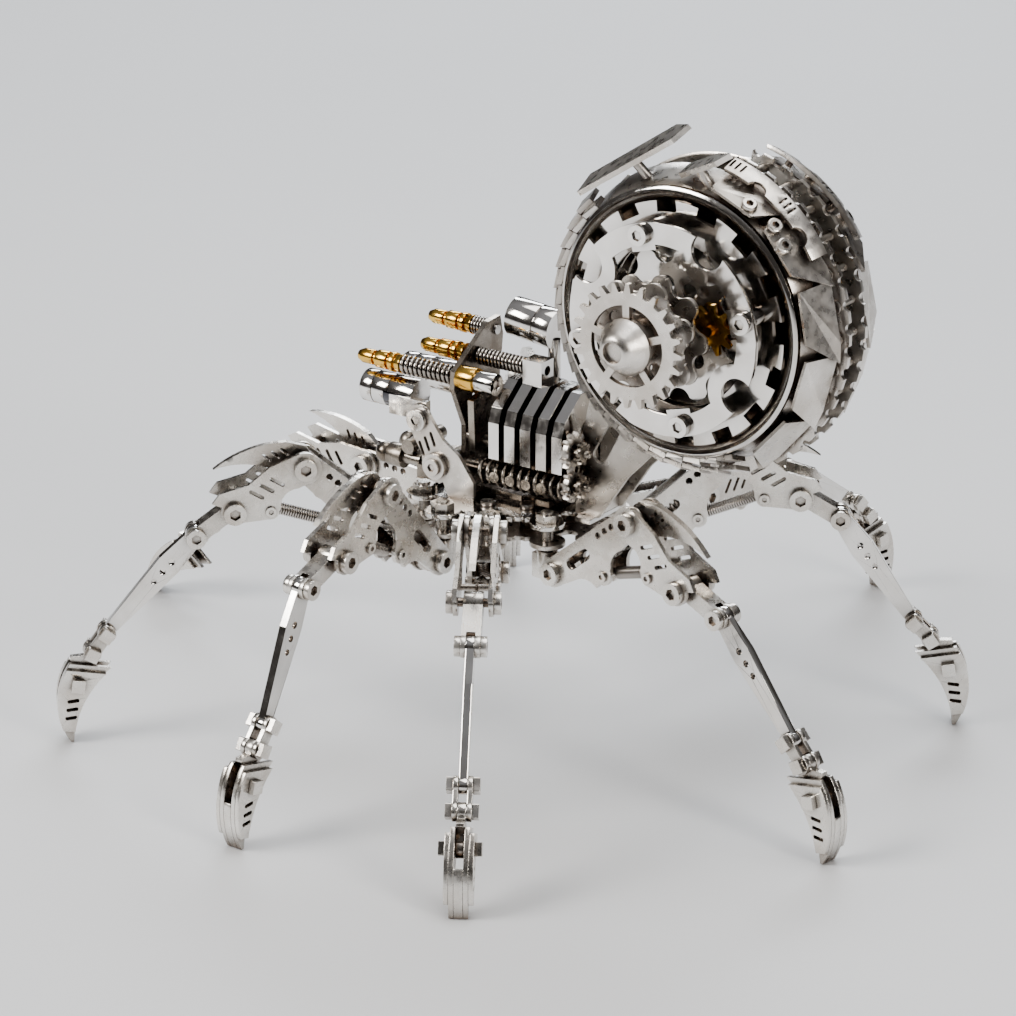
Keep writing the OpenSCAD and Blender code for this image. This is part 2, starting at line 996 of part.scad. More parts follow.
module wavy_disc(r, lobes, lobe_r, windows) {
    difference() {
        union() {
            circle(r, $fn = 72);
            for (k = [0:lobes - 1])
                rotate([0, 0, k * 360 / lobes])
                    translate([r - lobe_r * 0.25, 0])
                        circle(lobe_r);
        }
        for (k = [0:lobes - 1])
            rotate([0, 0, (k + 0.5) * 360 / lobes]) {
                translate([r + lobe_r * 0.5, 0])
                    circle(lobe_r * 0.9);
                translate([r * 0.62, 0])
                    circle(windows);
            }
    }
}

// Polished dishes, the core tubes round the shaft and the discs that stand on them
module drum_dishes() {
    in_drum()
        both_sides() {
            color(bright)
                lathe_y()
                    polygon(concat(
                        [[20.6, dish_y + 1.2], [20.6, dish_y]],
                        arc(28, dish_y + 5, 5, -90, -12, 8),
                        arc(28, dish_y + 5, 4, -8, -90, 8)
                    ));
            color(steel) {
                lathe_y(48)
                    polygon([[shaft_r + running, frame_y + frame_t + touching],
                             [core_r, frame_y + frame_t + touching],
                             [core_r, web_y + disc_t + 0.6], [shaft_r + running, web_y + disc_t + 0.6]]);
                plate(8.4, 1)
                    difference() {
                        union() {
                            wavy_disc(16, 8, 3.2, 2.2);
                            for (a = [60:90:330])
                                rotate([0, 0, a])
                                    translate([13, -2.4])
                                        square([16, 4.8]);
                        }
                        circle(core_r + touching);
                        for (a = [60:90:330])
                            rotate([0, 0, a])
                                translate([26.3, 0])
                                    circle(1 + touching);
                        rotate([0, 0, idler_azimuth])
                            translate([idler_reach, 0])
                                circle(1.8);
                    }
                for (a = [60:90:330])
                    round_drum(a)
                        translate([26.3, 0, 0]) {
                            translate([0, 9.6, 0])
                                rod_y(1.7, 1);
                            translate([0, 10.4, 0])
                                difference() {
                                    rod_y(0.95, 2);
                                    rod_y(3, 1 + touching);
                                }
                        }
                plate(web_y, disc_t)
                    difference() {
                        rotate([0, 0, idler_azimuth])
                            wavy_disc(16.4, 10, 3.2, 2);
                        circle(core_r + touching);
                        rotate([0, 0, idler_azimuth])
                            translate([idler_reach, 0])
                                circle(1.2 + running);
                    }
            }
        }
}

// A point on the conical flank: angle round the shaft, distance up the slope, height above it
flank_foot = [33.6, 14.4];
flank_slope = 68;
flank_len = 9;
function flank(a, t, h) =
    let(r = flank_foot[0] + t * cos(flank_slope) + h * sin(flank_slope))
    [r * cos(a), flank_foot[1] - t * sin(flank_slope) + h * cos(flank_slope), r * sin(a)];

// A plate on the flank, folded along lines from its first corner; corners are [angle, slope, height]
module flank_plate(corners, t) {
    n = len(corners);
    top = [for (p = corners) flank(p[0], p[1], p[2])];
    underside = [for (p = corners) flank(p[0], p[1], p[2] - t)];
    faces = concat(
        [for (k = [1:n - 2]) each [[0, k + 1, k], [n, n + k, n + k + 1]]],
        [for (k = [0:n - 1]) let(b = (k + 1) % n) each [[k, b, n + b], [k, n + b, n + k]]]
    );
    polyhedron(concat(top, underside), faces);
}

shingle_step = 8.2;
shingle_first = 134;
shingle_last = 292;
shingle_rows = [[-0.6, 4.2, 0.7], [3.6, flank_len, 2.2]];

module shingle(a, row) {
    lo = shingle_rows[row][0];
    hi = shingle_rows[row][1];
    h = shingle_rows[row][2];
    end = a + shingle_step * 0.95;
    flank_plate([[a, lo, h], [end, lo, h + 0.6], [end, hi, h + 0.6], [a, hi, h]], 1.2);
}

// A long flat leaf that starts on the flank and runs straight off it to a point
module leaf(a, back, length, lift, width) {
    round_drum(a)
        translate([flank_foot[0], flank_foot[1], 0])
            rotate([0, 0, 90 - flank_slope])
                rotate([0, -lift, 0]) {
                    cross_plate(4.4, 1.3)
                        polygon([[-width, back], [-1, back], [-0.4, 4 - length],
                                 [-0.45 * width, -length], [-width, 7 - length]]);
                    translate([0, -0.56 * width, 1])
                        rod_x(-1.2, 4.5, 1.2);
                }
}

// Shingles in two rows round the front and underside, and two long leaves above them on one side
module armour_tiles() {
    color(steel)
        in_drum() {
            mirror([0, 1, 0]) {
                leaf(110, 18, 20, 14, 8.6);
                leaf(79, 6, 12, 39, 5.4);
            }
            both_sides() {
                lathe_y()
                    polygon([for (p = [[0, -0.8], [flank_len, -0.8], [flank_len, -1.5], [0, -1.5]])
                        let(q = flank(0, p[0], p[1])) [q[0], q[1]]]);
                for (row = [0, 1])
                    for (a = [shingle_first + row * shingle_step / 2:shingle_step:shingle_last])
                        shingle(a, row);
            }
        }
}

kite_step = 27;
crest_from = -66;
crest_to = 78;
crest_y = 3;
scale_top = flank_len + 0.6;
collar_from = 31;
collar_to = 76;
collar_t = [5, scale_top];
collar_h = 3.1;

// A kite-shaped scale folded along the line from its upper corner by the rim down to its point
module kite(a) {
    flank_plate([[a + 16, -0.2, 2.2], [a + 16, scale_top, 1.3], [a - 6, scale_top, 1.9],
                 [a - 13, 9.2, 2.8], [a - 4, -0.6, 2.4]], 0.9);
}

// Places its children on the collar: x along the flank's normal, y down the slope, z round the shaft
module on_collar(a, t) {
    q = flank(0, t, collar_h);
    round_drum(a)
        translate([q[0], q[1], 0])
            rotate([0, 0, 90 - flank_slope])
                children();
}

// Conical collar over the upper scales: bites along its lower edge, groups of slots, posts down to the flank
module collar() {
    profile = [[collar_t[0], 0], [collar_t[1], 0], [collar_t[1], 1], [collar_t[0], 1]];
    difference() {
        rotate([-90, 0, 0])
            rotate([0, 0, -collar_to])
                rotate_extrude(angle = collar_to - collar_from, $fn = 120)
                    polygon([for (p = profile)
                        let(q = flank(0, p[0], collar_h + p[1])) [q[0], q[1]]]);
        for (a = [collar_from + 9:22:collar_to]) {
            on_collar(a, collar_t[0] - 0.6)
                rod_x(-1, 3, 2.6);
            for (k = [-1:1])
                on_collar(a + 11 + 2.2 * k, (collar_t[0] + collar_t[1]) / 2 + 0.3)
                    translate([0.5, 0, 0])
                        cube([4, 2.6, 0.6], center = true);
        }
    }
    for (a = [collar_from + 14:22:collar_to])
        on_collar(a, scale_top - 2)
            rod_x(-3.7, 0.2, 0.9);
}

// Kite scales down the back, their collars, and the ribbed crest that stands between the two sides
module back_plates() {
    rib_r = crest_r - 3.2;
    color(steel)
        in_drum() {
            both_sides() {
                for (k = [0:4])
                    kite(60 - kite_step * k);
                collar();
            }
            plate_pair(crest_y, disc_t)
                difference() {
                    circle(crest_r, $fn = 120);
                    circle(35, $fn = 120);
                    rotate([0, 0, crest_to])
                        square(100);
                    rotate([0, 0, crest_to + 90])
                        square(100);
                    rotate([0, 0, crest_from - 90])
                        square(100);
                    for (a = [crest_from + 6:8:crest_to])
                        rotate([0, 0, a])
                            translate([crest_r + 0.4, 0])
                                circle(1.5, $fn = 24);
                }
            for (a = [crest_from + 6:12:crest_to])
                round_drum(a)
                    translate([rib_r, 0, 0]) {
                        rod_y(crest_y + disc_t + 0.2, 1);
                        for (s = [-1, 1])
                            translate([0, s * (crest_y + disc_t + touching + 0.4), 0])
                                rod_y(0.4, 1.7);
                    }
        }
}

// Straight-flanked teeth, thin enough to run with play
module gear2d(teeth, bore, windows = 0) {
    pitch_r = tooth * teeth / 2;
    root_r = pitch_r - 1.1 * tooth;
    tip_r = pitch_r + 0.75 * tooth;
    difference() {
        union() {
            circle(root_r, $fn = 72);
            for (k = [0:teeth - 1])
                rotate([0, 0, k * 360 / teeth])
                    polygon([[root_r - 1, -1.05], [root_r, -0.95], [tip_r, -0.42],
                             [tip_r, 0.42], [root_r, 0.95], [root_r - 1, 1.05]]);
        }
        circle(bore);
        if (windows > 0)
            for (a = [0:360 / windows:359])
                rotate([0, 0, a])
                    translate([root_r * 0.62, 0])
                        circle(root_r * 0.2);
    }
}

// The shaft with a sun gear, two wavy discs, a spoked gear and a chromed cone on each side
module hub_gears() {
    rim_teeth = 24;
    discs = [sun_y, star_y, cam_y];
    spacers = [[sun_y + disc_t, star_y], [star_y + 1, cam_y], [cam_y + 1, gear_y]];
    color(steel)
        in_drum() {
            rod_y(gear_y + 3, shaft_r);
            both_sides() {
                plate(discs[0], disc_t)
                    rotate([0, 0, idler_azimuth])
                        gear2d(sun_teeth, shaft_r + touching);
                plate(discs[1], 1)
                    difference() {
                        wavy_disc(13, 9, 2.6, 1.5);
                        circle(shaft_r + touching);
                    }
                plate(discs[2], 1)
                    difference() {
                        rotate([0, 0, 20])
                            wavy_disc(12.8, 7, 3, 1.9);
                        circle(shaft_r + touching);
                    }
                for (y = spacers)
                    lathe_y(48)
                        translate([shaft_r + touching, y[0] + touching])
                            square([2.6, y[1] - y[0] - 2 * touching]);
                plate(gear_y, 1.4) {
                    gear2d(rim_teeth, 9.8);
                    difference() {
                        union() {
                            circle(6.4);
                            for (a = [20:72:308])
                                rotate([0, 0, a])
                                    translate([0, -0.9])
                                        square([10.2, 1.8]);
                        }
                        circle(shaft_r + touching);
                    }
                }
            }
        }
    color(bright)
        in_drum()
            both_sides()
                lathe_y(72)
                    polygon([[shaft_r + touching, gear_y + 1.43], [6.6, gear_y + 1.43], [6.9, gear_y + 2.2],
                             [3.6, gear_y + 7], [2.6, gear_y + 7.4], [2.6, gear_y + 6.2], [0, gear_y + 6.2],
                             [0, gear_y + 3.1], [shaft_r + touching, gear_y + 3.1]]);
}

// Two brass pinions on one shaft, in mesh with the sun gears
module idler_gear() {
    color(brass)
        in_drum()
            round_drum(idler_azimuth)
                translate([idler_reach, 0, 0]) {
                    rod_y(sun_y + disc_t + 1.4, 1.2);
                    both_sides() {
                        plate(sun_y, disc_t)
                            rotate([0, 0, 180 + 180 / idler_teeth])
                                gear2d(idler_teeth, 1.1);
                        translate([0, sun_y - 0.35, 0])
                            rod_y(0.4, 2.4);
                    }
                }
}

// ---- Nodes ---------------------------------------------------------------

base_plate_upper();
base_plate_lower();
base_hardware();
engine_frame();
engine_fins();
head_brackets();
jaw_cluster();
eye_lamp(-1);  // eye_lamp_left
eye_lamp(1);  // eye_lamp_right
top_barrel();
nozzle(0, -40.6, -0.8, true);  // nozzle_left
nozzle(1, -26.6, 6);  // nozzle_middle
nozzle(2, -29.6, -10.4);  // nozzle_right
abdomen_frame();
drum_rims();
drum_dishes();
armour_tiles();
back_plates();
hub_gears();
idler_gear();
for (i = [0:7]) {
    coxa(i);
    femur(i);
    patella(i);
    tibia(i);
    foot(i);
}
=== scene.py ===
"""Looks for the mechanical spider: steel and brass, bevels, springs and small fittings around the frame."""

import json
import math

import bmesh
import bpy
from mathutils import Matrix, Vector


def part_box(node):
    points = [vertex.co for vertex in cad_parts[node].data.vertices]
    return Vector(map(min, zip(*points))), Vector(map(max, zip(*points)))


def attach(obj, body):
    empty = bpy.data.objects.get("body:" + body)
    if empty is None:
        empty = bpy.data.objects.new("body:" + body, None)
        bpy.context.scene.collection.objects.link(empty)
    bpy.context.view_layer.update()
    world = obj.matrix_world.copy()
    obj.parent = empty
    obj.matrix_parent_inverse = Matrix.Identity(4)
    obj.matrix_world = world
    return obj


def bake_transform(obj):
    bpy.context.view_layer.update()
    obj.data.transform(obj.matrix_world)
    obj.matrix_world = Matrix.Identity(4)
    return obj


MM = 0.001
UP = Vector((0, 0, 1))

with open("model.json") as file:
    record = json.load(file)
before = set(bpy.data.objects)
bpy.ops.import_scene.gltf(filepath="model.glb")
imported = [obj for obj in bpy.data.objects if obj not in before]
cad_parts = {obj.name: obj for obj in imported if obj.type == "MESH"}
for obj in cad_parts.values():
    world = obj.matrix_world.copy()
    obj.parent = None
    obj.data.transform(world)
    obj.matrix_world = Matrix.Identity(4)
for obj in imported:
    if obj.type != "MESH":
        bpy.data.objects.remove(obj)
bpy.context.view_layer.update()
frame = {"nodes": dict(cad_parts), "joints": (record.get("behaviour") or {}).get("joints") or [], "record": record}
NODES = frame["nodes"]
JOINTS = {j["name"]: j for j in frame["joints"]}
LEGS = ["L1", "L2", "L3", "L4", "R4", "R3", "R2", "R1"]


def joint_at(name):
    return Vector(JOINTS[name]["pos_m"])


# The body's middle is the middle of the eight coxa pins
HUB = sum((joint_at(f"{leg}_coxa_yaw") for leg in LEGS), Vector()) / len(LEGS)
HUB.z = 0


# ---- Camera ---------------------------------------------------------------

AZIMUTH = math.radians(35)
ELEVATION = math.radians(23.56)
DISTANCE = 1041.5 * MM
AIM_RIGHT = -2.6 * MM
AIM_UP = 56.3 * MM
SENSOR = 36
FOCAL_SHARE = 4.0183  # focal length over the picture's width


def make_camera():
    right = Vector((math.cos(AZIMUTH), math.sin(AZIMUTH), 0))
    away = Vector((-math.sin(AZIMUTH), math.cos(AZIMUTH), 0))
    place = HUB - away * DISTANCE * math.cos(ELEVATION) + UP * DISTANCE * math.sin(ELEVATION)
    aim = HUB + right * AIM_RIGHT + UP * AIM_UP
    data = bpy.data.cameras.new("camera")
    data.sensor_width = SENSOR
    data.lens = SENSOR * FOCAL_SHARE
    data.clip_end = 50
    camera = bpy.data.objects.new("camera", data)
    camera.location = place
    camera.rotation_euler = (aim - place).to_track_quat("-Z", "Y").to_euler()
    bpy.context.scene.collection.objects.link(camera)
    bpy.context.scene.camera = camera


make_camera()


# ---- Materials ------------------------------------------------------------


def new_material(name):
    material = bpy.data.materials.new(name)
    material.use_nodes = True
    nodes = material.node_tree.nodes
    return material, nodes, material.node_tree.links, nodes["Principled BSDF"]


def noise(nodes, links, scale, detail=4, stretch=(1, 1, 1)):
    """Noise over the object's own coordinates, in cycles per metre."""
    place = nodes.new("ShaderNodeTexCoord")
    mapping = nodes.new("ShaderNodeMapping")
    mapping.inputs["Scale"].default_value = stretch
    texture = nodes.new("ShaderNodeTexNoise")
    texture.inputs["Scale"].default_value = scale
    texture.inputs["Detail"].default_value = detail
    links.new(place.outputs["Object"], mapping.inputs["Vector"])
    links.new(mapping.outputs["Vector"], texture.inputs["Vector"])
    return texture.outputs["Fac"]


def ramp(nodes, links, source, stops):
    """A colour ramp from (position, colour) stops."""
    node = nodes.new("ShaderNodeValToRGB")
    elements = node.color_ramp.elements
    while len(elements) < len(stops):
        elements.new(0.5)
    for element, (position, colour) in zip(elements, stops):
        element.position = position
        element.color = (*colour, 1)
    links.new(source, node.inputs["Fac"])
    return node.outputs["Color"]


def grey(value):
    return (value, value, value)


def multiply(nodes, links, a, b):
    node = nodes.new("ShaderNodeMix")
    node.data_type = "RGBA"
    node.blend_type = "MULTIPLY"
    node.inputs["Factor"].default_value = 1.0
    links.new(a, node.inputs["A"])
    links.new(b, node.inputs["B"])
    return node.outputs["Result"]


# Painted shade: the brown that ambient occlusion mixes into the base colour in crevices and between parts, and how
# far it reaches.
CREVICE_SHADE_COLOUR = (0.16, 0.11, 0.075)
CREVICE_SHADE_REACH = 8 * MM


def metal(name, light, dark, rough, grain=0.05, wear_scale=90, crevice_shade=CREVICE_SHADE_COLOUR):
    """Metal with a cloudy tone, crevices darkened with painted brown shade, uneven gloss, fine scratches and a
    rolled grain.
    """
    material, nodes, links, shader = new_material(name)
    shader.inputs["Metallic"].default_value = 1.0
    cloud = noise(nodes, links, wear_scale)
    tone = ramp(nodes, links, cloud, [(0.36, dark), (0.62, light)])
    # Painted shade: the base colour darkens towards brown wherever ambient occlusion finds nearby parts.
    crevice = nodes.new("ShaderNodeAmbientOcclusion")
    crevice.samples = 6
    crevice.inputs["Distance"].default_value = CREVICE_SHADE_REACH
    shade = ramp(nodes, links, crevice.outputs["AO"], [(0.22, crevice_shade), (0.62, grey(0.6)), (0.9, grey(1))])
    links.new(multiply(nodes, links, tone, shade), shader.inputs["Base Color"])
    smear = noise(nodes, links, wear_scale * 5, 6)
    low, high = rough
    links.new(ramp(nodes, links, smear, [(0.35, grey(low)), (0.7, grey(high))]), shader.inputs["Roughness"])
    fine = noise(nodes, links, 2200, 3, (1, 1, 0.2))
    bump = nodes.new("ShaderNodeBump")
    bump.inputs["Strength"].default_value = grain
    bump.inputs["Distance"].default_value = 0.05 * MM
    links.new(fine, bump.inputs["Height"])
    links.new(bump.outputs["Normal"], shader.inputs["Normal"])
    return material


MATERIALS = {
    "plate": metal("rolled_plate", (0.84, 0.80, 0.75), (0.64, 0.59, 0.53), (0.24, 0.4), 0.25),
    "legs": metal("leg_plate", (0.86, 0.83, 0.78), (0.68, 0.63, 0.57), (0.2, 0.36), 0.2),
    # Polished plate and brass get their own lighter painted crevice shade as their last colour.
    "mirror": metal("polished_plate", (0.93, 0.91, 0.88), (0.78, 0.75, 0.71), (0.07, 0.17), 0.08,
                    crevice_shade=(0.36, 0.3, 0.25)),
    "dark": metal("turned_steel", (0.4, 0.36, 0.31), (0.2, 0.165, 0.13), (0.2, 0.36), 0.15),
    "brass": metal("brass", (0.98, 0.62, 0.12), (0.78, 0.4, 0.05), (0.12, 0.26), 0.1, crevice_shade=(0.72, 0.4, 0.1)),
    "spring": metal("spring_wire", (0.66, 0.62, 0.57), (0.42, 0.38, 0.34), (0.12, 0.24), 0.05),
    "glass": metal("lens", (0.05, 0.05, 0.06), (0.012, 0.012, 0.015), (0.05, 0.1), 0.0),
}


# ---- Frame parts ----------------------------------------------------------

BEVELS = {"armour_tiles": 0.16, "back_plates": 0.2, "engine_fins": 0.3, "drum_rims": 0.16, "drum_dishes": 0.12}


def dress_frame():
    """Every frame part gets its slot's material, welded corners and a small lit edge."""
    slots = {s["node"]: s["material_slot"] for s in frame["record"]["subparts"]}
    for name, node in NODES.items():
        node.data.materials.clear()
        node.data.materials.append(MATERIALS[slots[name]])
        weld = node.modifiers.new("weld", "WELD")
        weld.merge_threshold = 0.002 * MM
        bevel = node.modifiers.new("edge", "BEVEL")
        bevel.width = BEVELS.get(name, 0.14) * MM
        bevel.segments = 2
        bevel.limit_method = "ANGLE"
        bevel.angle_limit = math.radians(40)
        bevel.harden_normals = False


dress_frame()


def paint(name, material, chosen):
    """Gives a second material to the faces of a frame part whose middle is chosen."""
    data = NODES[name].data
    data.materials.append(MATERIALS[material])
    for face in data.polygons:
        if chosen(face.center):
            face.material_index = len(data.materials) - 1


NOZZLE_RINGS = 12.05 * MM
KNURL_RADIUS = 2.85 * MM
KNURL_END = HUB.x - 5.95 * MM


def paint_nozzles():
    """Only the stepped rings and the knurl are brass: the rod and the collar are steel."""
    for name in ("left", "middle", "right"):
        low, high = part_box(f"nozzle_{name}")
        y, z = (low.y + high.y) / 2, (low.z + high.z) / 2
        rod_start = low.x + 1.4 * MM + NOZZLE_RINGS

        def is_steel(c, y=y, z=z, rod_start=rod_start):
            radius = math.hypot(c.y - y, c.z - z)
            on_knurl = c.x < KNURL_END and radius > 1.3 * MM
            return c.x > rod_start and not on_knurl

        paint(f"nozzle_{name}", "mirror", is_steel)


paint_nozzles()


# ---- Mesh helpers ---------------------------------------------------------


def piece(name, mesh, material, body):
    """A finished mesh becomes a piece that rides on a body."""
    obj = bpy.data.objects.new(name, mesh)
    bpy.context.scene.collection.objects.link(obj)
    mesh.materials.append(MATERIALS[material])
    for face in mesh.polygons:
        face.use_smooth = True
    if body:
        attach(obj, body)
    return obj


def circle_turns(sides):
    return [2 * math.pi * n / sides for n in range(sides)]


def skin(bm, rings):
    """Quads between each ring of vertices and the next."""
    for a, b in zip(rings, rings[1:]):
        for n in range(len(a)):
            m = (n + 1) % len(a)
            bm.faces.new((a[n], a[m], b[m], b[n]))


def cap(bm, rings):
    bm.faces.new(list(reversed(rings[0])))
    bm.faces.new(rings[-1])


def finished(name, bm):
    mesh = bpy.data.meshes.new(name)
    bm.to_mesh(mesh)
    bm.free()
    return mesh


def flat(obj):
    for face in obj.data.polygons:
        face.use_smooth = False


def tube_mesh(name, points, radius, sides=8):
    """A closed tube of one radius along a list of points."""
    bm = bmesh.new()
    rings = []
    normal = None
    for k, p in enumerate(points):
        tangent = (points[min(k + 1, len(points) - 1)] - points[max(k - 1, 0)]).normalized()
        if normal is None:
            normal = tangent.orthogonal().normalized()
        normal = (normal - tangent * normal.dot(tangent)).normalized()
        side = tangent.cross(normal)
        rings.append([bm.verts.new(p + (normal * math.cos(t) + side * math.sin(t)) * radius)
                      for t in circle_turns(sides)])
    skin(bm, rings)
    cap(bm, rings)
    return finished(name, bm)


def coil_points(start, end, radius, turns, per_turn=16):
    """The points of a helix from start to end."""
    axis = end - start
    side = axis.orthogonal().normalized()
    other = axis.normalized().cross(side)
    count = int(turns * per_turn)
    points = []
    for k in range(count + 1):
        angle = 2 * math.pi * turns * k / count
        points.append(start + axis * k / count + (side * math.cos(angle) + other * math.sin(angle)) * radius)
    return points


# ---- Springs --------------------------------------------------------------


def coil(name, start, end, radius, wire, turns, body, per_turn=16):
    points = coil_points(start, end, radius, turns, per_turn)
    return piece(name, tube_mesh(name, points, wire), "spring", body)


def segment(leg, joint, towards):
    """A leg segment's first joint, the way along it, the way up from it, and its joint's axis."""
    origin = joint_at(f"{leg}_{joint}")
    along = (joint_at(f"{leg}_{towards}") - origin).normalized()
    across = Vector(JOINTS[f"{leg}_{joint}"]["axis"]).normalized()
    up = across.cross(along)
    return origin, along, (up if up.z > 0 else -up), across


def on(place, x, z):
    origin, along, up = place[:3]
    return origin + along * x * MM + up * z * MM


def hook(centre, towards, radius, across):
    """The open loop that hangs an extension spring on its screw, ending on the spring's own axis."""
    out = (towards - centre).normalized()
    side = across.cross(out)
    turns = [math.radians(t) for t in range(250, 0, -25)]
    loop = [centre + (out * math.cos(t) + side * math.sin(t)) * radius for t in turns]
    return loop + [centre + out * radius * 1.3]


def extension_spring(leg):
    """Close-wound spring across the knee, from the femur's lower screw to the patella's."""
    femur = segment(leg, "lift", "knee")
    patella = segment(leg, "knee", "shin")
    a = on(femur, 15.5, -7.4)
    b = on(patella, 13, -4.7)
    way = (b - a).normalized()
    start, end = a + way * 2.1 * MM, b - way * 2.1 * MM
    turns = int((end - start).length / (0.62 * MM))
    body = coil_points(start, end, 1.35 * MM, turns, per_turn=12)
    points = hook(a, b, 1.4 * MM, femur[3]) + body + list(reversed(hook(b, a, 1.4 * MM, femur[3])))
    spring = piece(f"knee_spring_{leg}", tube_mesh("knee_spring", points, 0.28 * MM, 6), "spring", None)
    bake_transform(spring)


for leg_name in LEGS:
    thigh = segment(leg_name, "lift", "knee")
    coil(f"femur_spring_{leg_name}", on(thigh, 9.8, -2.6), on(thigh, 21.2, -2.6), 1.7 * MM, 0.36 * MM, 8,
         f"femur_{leg_name}")
    extension_spring(leg_name)


def nozzle_front(name):
    """The tip of a nozzle, on its own centre line."""
    low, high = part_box(f"nozzle_{name}")
    return Vector((low.x, (low.y + high.y) / 2, (low.z + high.z) / 2))


RINGS_LENGTH = 13.6 * MM
GUIDE_FRONT = HUB.x - 12.5 * MM
GUIDE_BACK = HUB.x - 11.1 * MM


def nozzle_springs():
    """A return spring before the guide plate on the outer rods, and one behind it on the middle rod."""
    for name, radius in (("left", 2.0), ("right", 1.9)):
        front = nozzle_front(name)
        start = Vector((front.x + RINGS_LENGTH, front.y, front.z))
        end = Vector((GUIDE_FRONT - 0.4 * MM, front.y, front.z))
        turns = max(5, int((end - start).length / (1.35 * MM)))
        points = coil_points(start, end, radius * MM, turns, per_turn=14)
        mesh = tube_mesh("nozzle_spring", points, 0.48 * MM)
        spring = piece(f"nozzle_spring_{name}", mesh, "spring", None)
        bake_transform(spring)
    front = nozzle_front("middle")
    start = Vector((GUIDE_BACK + 0.5 * MM, front.y, front.z))
    end = Vector((HUB.x + 3.6 * MM, front.y, front.z))
    coil("nozzle_spring_middle", start, end, 1.85 * MM, 0.42 * MM, 13, "body", per_turn=14)


nozzle_springs()


# ---- Small fittings -------------------------------------------------------


def gear_mesh(name, teeth, root, tip, thick, bore):
    """A toothed ring with chamfered tooth tips, its axis along X."""
    bm = bmesh.new()
    half = thick / 2
    outline = []
    for k in range(teeth):
        for share, r in ((0.0, root), (0.26, root), (0.36, tip), (0.64, tip), (0.74, root)):
            t = 2 * math.pi * (k + share) / teeth
            outline.append((r * math.cos(t), r * math.sin(t)))
    rings = []
    for x, scale in ((-half, 0.94), (-half * 0.6, 1), (half * 0.6, 1), (half, 0.94)):
        rings.append([bm.verts.new((x, y * scale, z * scale)) for y, z in outline])
    inner = [[bm.verts.new((x, bore * math.cos(t), bore * math.sin(t))) for t in circle_turns(len(outline))]
             for x in (-half, half)]
    skin(bm, [inner[0], *rings, inner[1], inner[0]])
    bmesh.ops.recalc_face_normals(bm, faces=bm.faces)
    return finished(name, bm)


def hub_point(x, y, z):
    return HUB + Vector((x, y, z)) * MM


def small_gear(name, at, teeth, root, tip, thick, material, turn=0.0, spin=0.0):
    mesh = gear_mesh(name, teeth, root * MM, tip * MM, thick * MM, root * 0.3 * MM)
    turned = Matrix.Rotation(turn, 4, "Z") @ Matrix.Rotation(spin, 4, "X")
    mesh.transform(Matrix.Translation(hub_point(*at)) @ turned)
    flat(piece(name, mesh, material, "body"))


def bar(name, start, end, radius, material, sides=16):
    """A round bar with turned-down ends and a groove round its middle."""
    way = end - start
    profile = ((0, 0.6), (0.08, 1), (0.46, 1), (0.48, 0.8), (0.52, 0.8), (0.54, 1), (0.92, 1), (1, 0.6))
    axis = way.normalized()
    side = axis.orthogonal().normalized()
    other = axis.cross(side)
    bm = bmesh.new()
    rings = []
    for share, scale in profile:
        rings.append([bm.verts.new(start + way * share
                                   + (side * math.cos(t) + other * math.sin(t)) * radius * scale)
                      for t in circle_turns(sides)])
    skin(bm, rings)
    cap(bm, rings)
    return piece(name, finished(name, bm), material, "body")


def engine_fittings():
    """Timing gears behind the fins on both sides, and worms along the row of rollers under them."""
    for s, side in ((-1, "left"), (1, "right")):
        for k, (z, root) in enumerate(((70.6, 3.4), (79.2, 3.9))):
            small_gear(f"timing_gear_{side}_{k}", (23.4, s * 10.2, z), 12, root, root + 1.0, 2.0, "plate")
            small_gear(f"timing_pinion_{side}_{k}", (26, s * 10.2, z), 9, 2.1, 2.9, 1.6, "dark", spin=0.3)
            bar(f"timing_shaft_{side}_{k}", hub_point(20.6, s * 10.2, z), hub_point(28.6, s * 10.2, z), 0.95 * MM,
                "dark")
        points = coil_points(hub_point(-4.5, s * 8.9, 68.2), hub_point(20.4, s * 8.9, 68.2), 2.7 * MM, 10.5)
        worm = tube_mesh("worm", points, 0.55 * MM, 6)
        piece(f"worm_{side}", worm, "dark", "body")


engine_fittings()


def screw_mesh(radius, height, drive):
    """A cap screw's head on the X axis: rounded rim and a hex recess."""
    bm = bmesh.new()
    sides = 24
    profile = ((-0.6, 1.0), (0.0, 1.0), (0.72, 1.0), (0.93, 0.93), (1.0, 0.8))
    rings = []
    for level, scale in profile:
        rings.append([bm.verts.new((level * height, radius * scale * math.cos(t), radius * scale * math.sin(t)))
                      for t in circle_turns(sides)])
    for level in (1.0, 0.35):
        ring = []
        for t in circle_turns(sides):
            reach = drive / math.cos((t % (math.pi / 3)) - math.pi / 6)
            ring.append(bm.verts.new((level * height, reach * math.cos(t), reach * math.sin(t))))
        rings.append(ring)
    skin(bm, rings)
    cap(bm, rings)
    bmesh.ops.recalc_face_normals(bm, faces=bm.faces)
    return finished("screw", bm)


CAP_SCREW_RADIUS = 1.9 * MM
DRUM = joint_at("hub_spin")
FLANK_FOOT = (33.6 * MM, 14.4 * MM)
FLANK_SLOPE = math.radians(68)


def on_flank(side, azimuth, t, h):
    """A place on the drum's conical flank with X along the flank's normal."""
    r = FLANK_FOOT[0] + t * MM * math.cos(FLANK_SLOPE) + h * MM * math.sin(FLANK_SLOPE)
    y = FLANK_FOOT[1] - t * MM * math.sin(FLANK_SLOPE) + h * MM * math.cos(FLANK_SLOPE)
    a = math.radians(azimuth)
    normal = Vector((math.sin(FLANK_SLOPE) * math.cos(a), side * math.cos(FLANK_SLOPE),
                     math.sin(FLANK_SLOPE) * math.sin(a)))
    place = DRUM + Vector((r * math.cos(a), side * y, r * math.sin(a)))
    return Matrix.Translation(place) @ normal.to_track_quat("X", "Z").to_matrix().to_4x4()


